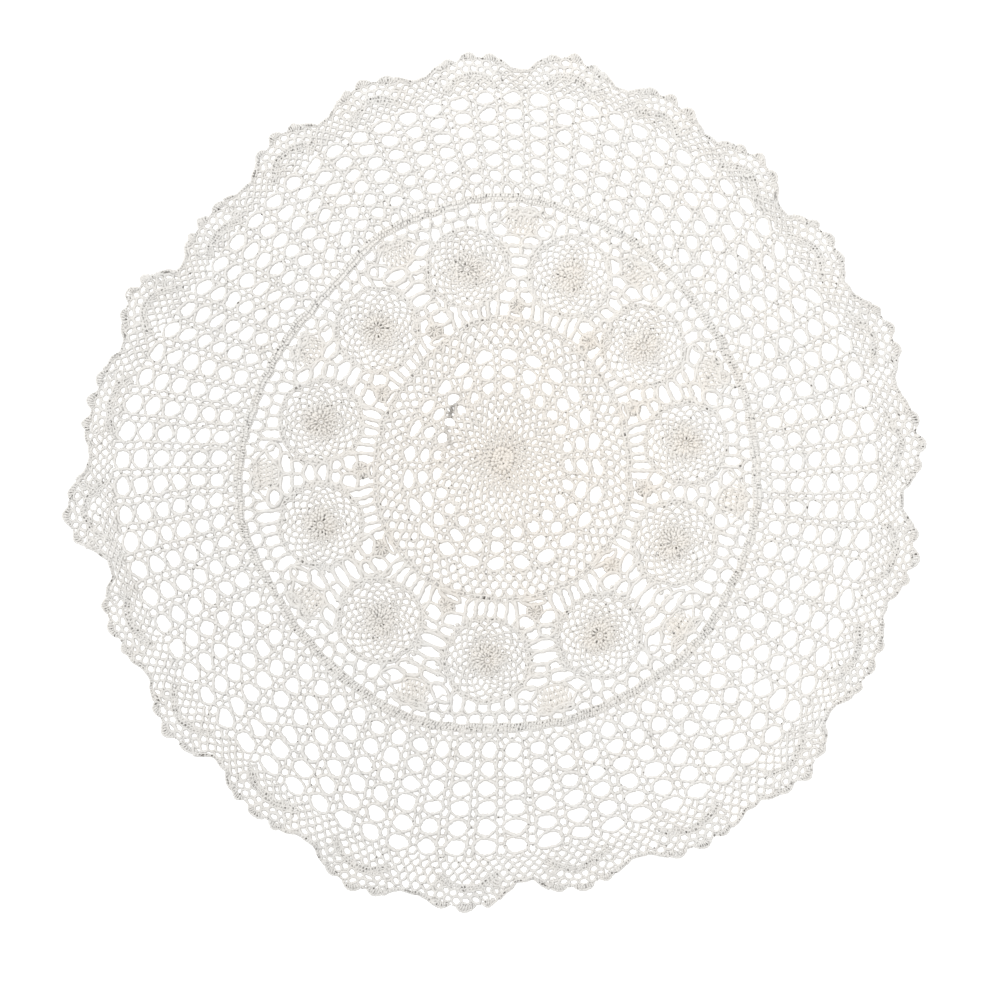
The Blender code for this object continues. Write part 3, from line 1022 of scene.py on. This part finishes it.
def work_join(lace, number):
    """The gaps, the ball and the shell between this wheel and the next."""
    degrees = repeat_degrees(np.array(number + 0.5))
    inner = medallion_radius(degrees)
    depth = braid_radius(degrees) - inner
    up = around(degrees, 1.0)
    side = np.array((up[1], -up[0]))

    beside = WHEELS[number], WHEELS[(number + 1) % len(WHEELS)]
    spread = np.linalg.norm(heart_of(beside[1]) - heart_of(beside[0])) - EVEN_SPREAD

    def join_ground(across, share):
        return (inner + depth * share)[..., None] * up + across[..., None] * side

    for gap in JOIN_GAPS:
        signs = (-1, 1) if gap.aside else (1,)
        wider = spread / len(signs)
        aside = gap.aside + wider / 2 if gap.aside else 0.0
        for sign in signs:
            middle = join_ground(np.array([sign * aside]), np.array([gap.share]))
            tilt = math.radians(sign * gap.tilt)
            outward = up * math.cos(tilt) + side * math.sin(tilt)
            lace.rings(middle, outward[None], gap.across + wider, gap.along, lace.chain * 1.15)
    work_shell(lace, join_ground)
    for wall in (mirrored(WALL), WALL):
        lace.work(join_ground, 0.0, 0.0, wall, 4, lace.chain)
    work_ball(lace, join_ground(np.array(0.0), np.array(BALL_SHARE)))
    lace.knots(join_ground, np.zeros(3), KNOT_SHARES, (0, 0), 2.6)
    # The lines of knots beside the gaps are nearest to each other halfway between the wheels.
    share = np.linspace(0.22, 0.62, 12)
    reach = 7.4 + 60 * (share - 0.43) ** 2
    for sign in (-1, 1):
        lace.knots(join_ground, sign * reach, share, (0, 0), 2.4)


def work_ball(lace, middle):
    """The small close ball beside the medallion."""

    def shape(degrees, radius):
        return middle + around(degrees, radius)

    ball = ring_ground(shape, 11, 0.0, (0.0, 2.8, 5.7))
    for row in (0.4, 1.0, 1.6):
        lace.under(ball, 11, row, 4 + int(8 * row), 2.2)
    work_posts(lace, ball, 11, (1,), lace.post)
    lace.painted_gap_shade(ball, np.arange(11) + 0.5, 1.0, dash(0.1, 0.2), 1.0, 0.2)
    lace.painted_gap_shade(ball, np.arange(11), 1.7, dash(0.1, 0.0), 1.0, 0.15)


def work_shell(lace, join_ground):
    """The close shell under the braid: four rounds of fine mesh, each wider than the one below."""
    lace.work(join_ground, 0.0, 0.0, SHELL_FOOT, 6, lace.chain)
    for number, share in enumerate(SHELL_ROUNDS):
        count = 5 + number
        reach = 6.2 + number
        across = np.linspace(-reach, reach, count)
        shares = np.full(count, share)
        path = np.array(MESH_LOOP) * (across[1] - across[0], SHELL_ROUND_HEIGHT)
        lace.work(join_ground, across, shares, path, 2, lace.chain * 0.75, dark=LIT / 2)
        lace.knots(join_ground, across, shares, (0.0, 0.02), lace.chain * 0.9)
        under = ((-reach, share + 0.022), (reach, share + 0.022))
        lace.work(join_ground, 0.0, 0.0, under, 12, 1.4, LOWEST_HEIGHT, dark=LIT / 2)
        lace.painted_gap_shade(join_ground, across, shares - 0.01, dash(0.3, 0.0), 1.0, 0.18)


def work_loops(lace, number):
    """The round of loops inside the braid."""
    column = number * LOOP_COLUMNS + np.arange(-5.0, 6.0) + 0.5
    path = ((-0.5, -0.05), (-0.5, 0.5), (-0.32, 0.86), (0.0, 1.0), (0.32, 0.86), (0.5, 0.5))
    lace.work(loop_ground, column, 0.0, path, 6, lace.chain)
    lace.knots(loop_ground, column, 0.0, (0.0, 1.05), lace.chain * 1.4)
    lace.knots(loop_ground, column, 0.0, (0.5, 0.55), lace.chain * 1.3)


def work_braid(lace, number):
    """The braid's two rows of posts between three lines of chain, over a shaded ground."""
    half = BRAID_POSTS // 2
    column, row = cells(number * BRAID_POSTS + np.arange(-half, half + 1), (-1, 1))
    column += row / 4
    posts = lace.loose(column, 0.1), lace.loose(row, 0.1)
    lace.work(braid_ground, *posts, dash(0.2, 0.75), 1, lace.post * 1.1, RAISED, dark=LIT)
    line = number * BRAID_POSTS + np.linspace(-27.6, 27.6, 111)
    for level in (-2, 0, 2):
        lace.lay(braid_ground(line, level)[None], lace.chain * 0.6, LYING + 0.1)
    ground = {"flatness": UNDER_FLATNESS, "dark": LIT / 2}
    for level in (-1, 1):
        lace.lay(braid_ground(line, level)[None], 2.6, LOWEST_HEIGHT, **ground)
    for rise in (-0.45, 0.45):
        rows = lace.loose(row + rise, 0.15)
        lace.painted_gap_shade(braid_ground, column + 0.5, rows, dash(0.12, 0.22), 1.2, 0.4, 0.25)


class DOILY_OT_repeats(bpy.types.Operator):
    """Work the eleven repeats, each of a wheel, the joining beside it and its part of the braid."""

    bl_idname = "doily.work_repeats"
    bl_label = "Work the wheels and the braid"

    def execute(self, context):
        yarn = context.scene.doily_yarn
        for number in range(len(WHEELS)):
            shape = wheel_shape(WHEELS[number])
            raised = Lace(number + 21, yarn)
            work_wheel_heart(raised, shape)
            border = ring_ground(shape, RING_POSTS, 0.0, RING_ROUNDS)
            raised_ring(raised, border, RING_POSTS)
            work_braid(raised, number)
            lace = Lace(number + 1, yarn)
            work_mesh(lace, ring_ground(shape, 20, 0.0, INNER_ROUNDS), 20, (1, 2), 2, lace.chain * 0.8)
            wheel = ring_ground(shape, 21, 0.0, OUTER_ROUNDS)
            work_mesh(lace, wheel, 21, (1, 2, 3, 4), 2, lace.chain * 0.78)
            work_slots(lace, number)
            work_join(lace, number)
            work_loops(lace, number)
            trims = [show(raised, f"heart_and_braid_{number + 1:02d}")]
            show_sheet(lace, f"repeat_{number + 1:02d}")
        return {"FINISHED"}


# The net and the edging are shown in thirds, the first two of them with eight scallops.
THIRDS = 3
THIRD_SCALLOPS = 8

# A fan: its half width as a share of a scallop, how far in from the rim the middle of its close arc
# is, and how much further in the arc falls to the sides. Its bumps stand at BUMPS.
FAN_HALF = 0.27
ARC_DEPTH = 14.0
ARC_FALL = 45.0
BUMPS = (-0.215, 0.0, 0.215)

# The levels of the rounds of mesh in the edging.
MESH_LEVELS = (0.0, 0.18, 0.35, 0.53, 0.71, 0.90, 1.13, 1.43)


def edging_mesh_ground(column, row):
    """The mesh of the edging, in its own rounds."""
    return edging_ground(column / EDGING_COLUMNS, at_round(row, MESH_LEVELS))


def arc_depth(across):
    """How far in from the rim a fan's close arc is, at scallop numbers from the fan's middle."""
    return ARC_DEPTH + ARC_FALL * across**2


def work_net(lace, columns):
    """The net's six rounds of ovals, and the round of small gaps between it and the braid."""
    work_ovals(lace, net_ground, columns, range(1, NET_ROWS + 1), lace.chain)
    for column in (columns - 0.25, columns + 0.25):
        lace.work(net_ground, column, 0.0, ((0.0, -0.2), (0.0, 0.36)), 2, lace.chain)
    for side in (0.0, 0.5):
        lace.work(net_ground, columns + side, 0.0, SMALL_ARC, 3, lace.chain)
        lace.knots(net_ground, columns + side, 0.0, (0.0, 0.48), lace.chain * 1.3)


def work_edging_mesh(lace, scallops):
    """The mesh between the fans, and the rounds of it that run on under them."""
    columns = np.arange(scallops[0] * EDGING_COLUMNS - 5, scallops[-1] * EDGING_COLUMNS + 6)
    column, row = cells(columns, range(0, 7))
    column += row % 2 / 2
    row += 0.5
    scallop = column / EDGING_COLUMNS
    depth = rim_radius(scallop) - np.hypot(*edging_mesh_ground(column, row).T)
    away = from_middle(scallop)
    under = depth > arc_depth(away) + 0.8
    beside = (np.abs(away) > FAN_HALF - 0.02) & (depth > 2.6)
    column, row = column[under | beside], row[under | beside]
    lace.work(edging_mesh_ground, column, row, MESH_LOOP, 2, lace.chain * 0.85)
    lace.knots(edging_mesh_ground, column, row, (0.0, 0.5), lace.chain * 1.05)


def work_hollow(lace, scallop):
    """The close edge along the hollow that follows a fan."""
    across = scallop + 0.5 + np.linspace(-0.21, 0.21, 19)
    lace.work(rim_ground, across, 1.2, dash(0.0, 0.7), 1, lace.post, RAISED)
    lace.painted_gap_shade(rim_ground, across + 0.011, 1.2, dash(0.01, 0.0), 1.1, 0.6, 0.004)
    gaps = scallop + 0.5 + np.array((-0.15, -0.06, 0.04, 0.13))
    lace.painted_gap_shade(rim_ground, gaps, 1.4, dash(0.035, 0.0), 1.2, 0.6, 0.02)
    line = scallop + 0.5 + np.linspace(-0.22, 0.22, 31)
    for depth in (0.6, 2.0):
        lace.lay(rim_ground(line, depth)[None], lace.chain * 0.65, LYING + 0.1)


def work_fan(lace, scallop):
    """One scallop's fan: its close arc, two rows of cells over it, its edge and three bumps."""
    across = np.linspace(-FAN_HALF, FAN_HALF, 20)
    for rise in (-0.9, 0.9):
        at = scallop + across + 0.007 * rise
        depth = arc_depth(across) + rise
        lace.work(rim_ground, at, depth, dash(0.0, 0.8), 1, lace.post * 0.85, LYING + 0.2)
        lace.painted_gap_shade(rim_ground, at + 0.014, depth, dash(0.0, 0.3), 1.2, 0.5, 0.005)
    line = np.linspace(-FAN_HALF, FAN_HALF, 31)
    for rise in (-1.9, 0.0, 1.9):
        edge = rim_ground(scallop + line, arc_depth(line) + rise)
        lace.lay(edge[None], lace.chain * 0.65, LYING + 0.1)
    work_cells(lace, scallop, np.arange(-3.5, 4) * 0.074, 10.2, lace.chain * 0.8)
    work_cells(lace, scallop, np.arange(-3, 4) * 0.08, 6.2, lace.chain * 0.8)
    across = scallop + np.linspace(-FAN_HALF, FAN_HALF, 24)
    lace.work(rim_ground, across, 3.7, POST, 1, lace.post, LYING + 0.2)
    lace.painted_gap_shade(rim_ground, across + 0.011, 3.7, dash(0.008, 0.0), 1.0, 0.35, 0.005)
    for bump in BUMPS:
        work_bump(lace, scallop + bump)


def work_cells(lace, scallop, across, depth, width):
    """A row of small gaps in a fan, which fall away to the sides as the arc does."""
    fallen = depth + 0.5 * ARC_FALL * across**2
    middles = rim_ground(scallop + across, fallen)
    outward = rim_ground(scallop + across, fallen - 1.0) - middles
    lace.rings(middles, outward, 3.7, 2.6, width, 5)


def work_bump(lace, scallop):
    """A bump: posts that spread from its foot to its round edge."""
    spread = np.linspace(-1, 1, 7)
    start = rim_ground(scallop + spread * 0.05, 3.6)
    end = rim_ground(scallop + spread * 0.07, 0.3 + 2.8 * spread**2)
    share = np.linspace(0, 1, 3)[:, None]
    lace.lay(start[:, None] + (end - start)[:, None] * share, lace.post * 0.9, RAISED)
    gaps = scallop + np.linspace(-0.85, 0.85, 6) * 0.06
    lace.painted_gap_shade(rim_ground, gaps, 2.0, dash(0.0, -0.6), 1.1, 0.7, 0.003)
    spread = np.linspace(-1.05, 1.05, 13)
    line = rim_ground(scallop + spread * 0.074, 3.2 * spread**2)
    lace.lay(line[None], lace.chain * 0.7, LYING + 0.2)


class DOILY_OT_outer(bpy.types.Operator):
    """Work the outer lace in three thirds: the net of ovals and ladders with the edging round it."""

    bl_idname = "doily.work_outer"
    bl_label = "Work the net and the edging"

    def execute(self, context):
        yarn = context.scene.doily_yarn
        third = NET_COLUMNS // THIRDS
        scallops = np.arange(len(SCALLOPS))
        for number in range(THIRDS):
            edging = Lace(number + 15, yarn)
            part = scallops[scallops // THIRD_SCALLOPS == number]
            work_edging_mesh(edging, part)
            for scallop in part:
                work_fan(edging, scallop)
                work_hollow(edging, scallop)
            net = Lace(number + 12, yarn)
            work_net(net, np.arange(third) + third * number)
            trims = [show(edging, f"edging_{number + 1}")]
            show_sheet(net, f"net_{number + 1}")
        return {"FINISHED"}


# Where the middle of the photo is on the floor, and the large lamp's size, place and turn.
VIEW_MIDDLE = (-0.0018, -0.0216)
LAMP_SIZE = 1.2
LAMP_PLACE = (-0.9, 0.9, 1.6)
LAMP_TURN = (math.radians(-38), math.radians(-30), 0.0)


def make_floor(scene, settings):
    """The white floor, which glows a little."""
    half = settings.floor_size / 2
    mesh = bpy.data.meshes.new("floor")
    corners = [(-half, -half, 0), (half, -half, 0), (half, half, 0), (-half, half, 0)]
    mesh.from_pydata(corners, [], [(0, 1, 2, 3)])
    shader = Shader("floor")
    base = opaque(settings.floor_colour)
    glow = {"Emission Color": base, "Emission Strength": settings.floor_glow}
    shader.feed(shader.surface, {"Base Color": base, "Roughness": 0.9, **glow})
    mesh.materials.append(shader.material)
    floor = bpy.data.objects.new("floor", mesh)
    scene.collection.objects.link(floor)


def make_light(scene, settings):
    """Even white light from all sides, and a large lamp to one side of the doily."""
    world = bpy.data.worlds.new("soft daylight")
    world.use_nodes = True
    sky = world.node_tree.nodes["Background"].inputs
    sky["Color"].default_value = (1.0, 1.0, 1.0, 1.0)
    sky["Strength"].default_value = settings.sky_light
    scene.world = world
    data = bpy.data.lights.new("lamp", "AREA")
    data.energy = settings.lamp_power
    data.size = LAMP_SIZE
    lamp = bpy.data.objects.new("lamp", data)
    lamp.location = LAMP_PLACE
    lamp.rotation_euler = LAMP_TURN
    scene.collection.objects.link(lamp)


def make_camera(scene, settings):
    """A camera that looks straight down on the doily."""
    data = bpy.data.cameras.new("camera")
    data.lens = settings.lens
    camera = bpy.data.objects.new("camera", data)
    height = settings.view_width * settings.lens / data.sensor_width
    camera.location = VIEW_MIDDLE + (height,)
    scene.collection.objects.link(camera)
    scene.camera = camera


class DOILY_OT_stage(bpy.types.Operator):
    """Set up the floor, the light and the camera straight above."""

    bl_idname = "doily.set_stage"
    bl_label = "Set the stage"

    def execute(self, context):
        settings = context.scene.doily_stage
        make_floor(context.scene, settings)
        make_light(context.scene, settings)
        make_camera(context.scene, settings)
        context.scene.view_settings.view_transform = "Standard"
        return {"FINISHED"}


class DOILY_PT_sidebar(bpy.types.Panel):
    """The doily's settings and steps."""

    bl_label = "Doily"
    bl_idname = "DOILY_PT_sidebar"
    bl_space_type = "VIEW_3D"
    bl_region_type = "UI"
    bl_category = "Doily"

    def draw(self, context):
        scene = context.scene
        for settings in (scene.doily_yarn, scene.doily_stage):
            for name in settings.__annotations__:
                self.layout.prop(settings, name)
        for operator in OPERATORS:
            self.layout.operator(operator.bl_idname)


OPERATORS = (DOILY_OT_stage, DOILY_OT_medallion, DOILY_OT_repeats, DOILY_OT_outer)
CLASSES = (DoilyYarn, DoilyStage) + OPERATORS + (DOILY_PT_sidebar,)


def register():
    """Adds the settings, the steps and the sidebar."""
    for made in CLASSES:
        bpy.utils.register_class(made)
    bpy.types.Scene.doily_yarn = bpy.props.PointerProperty(type=DoilyYarn)
    bpy.types.Scene.doily_stage = bpy.props.PointerProperty(type=DoilyStage)


def unregister():
    """Takes them away again."""
    del bpy.types.Scene.doily_stage
    del bpy.types.Scene.doily_yarn
    for made in reversed(CLASSES):
        bpy.utils.unregister_class(made)


def main():
    """Works the whole doily."""
    register()
    bpy.ops.doily.set_stage()
    bpy.ops.doily.work_medallion()
    bpy.ops.doily.work_repeats()
    bpy.ops.doily.work_outer()


if __name__ == "__main__":
    main()
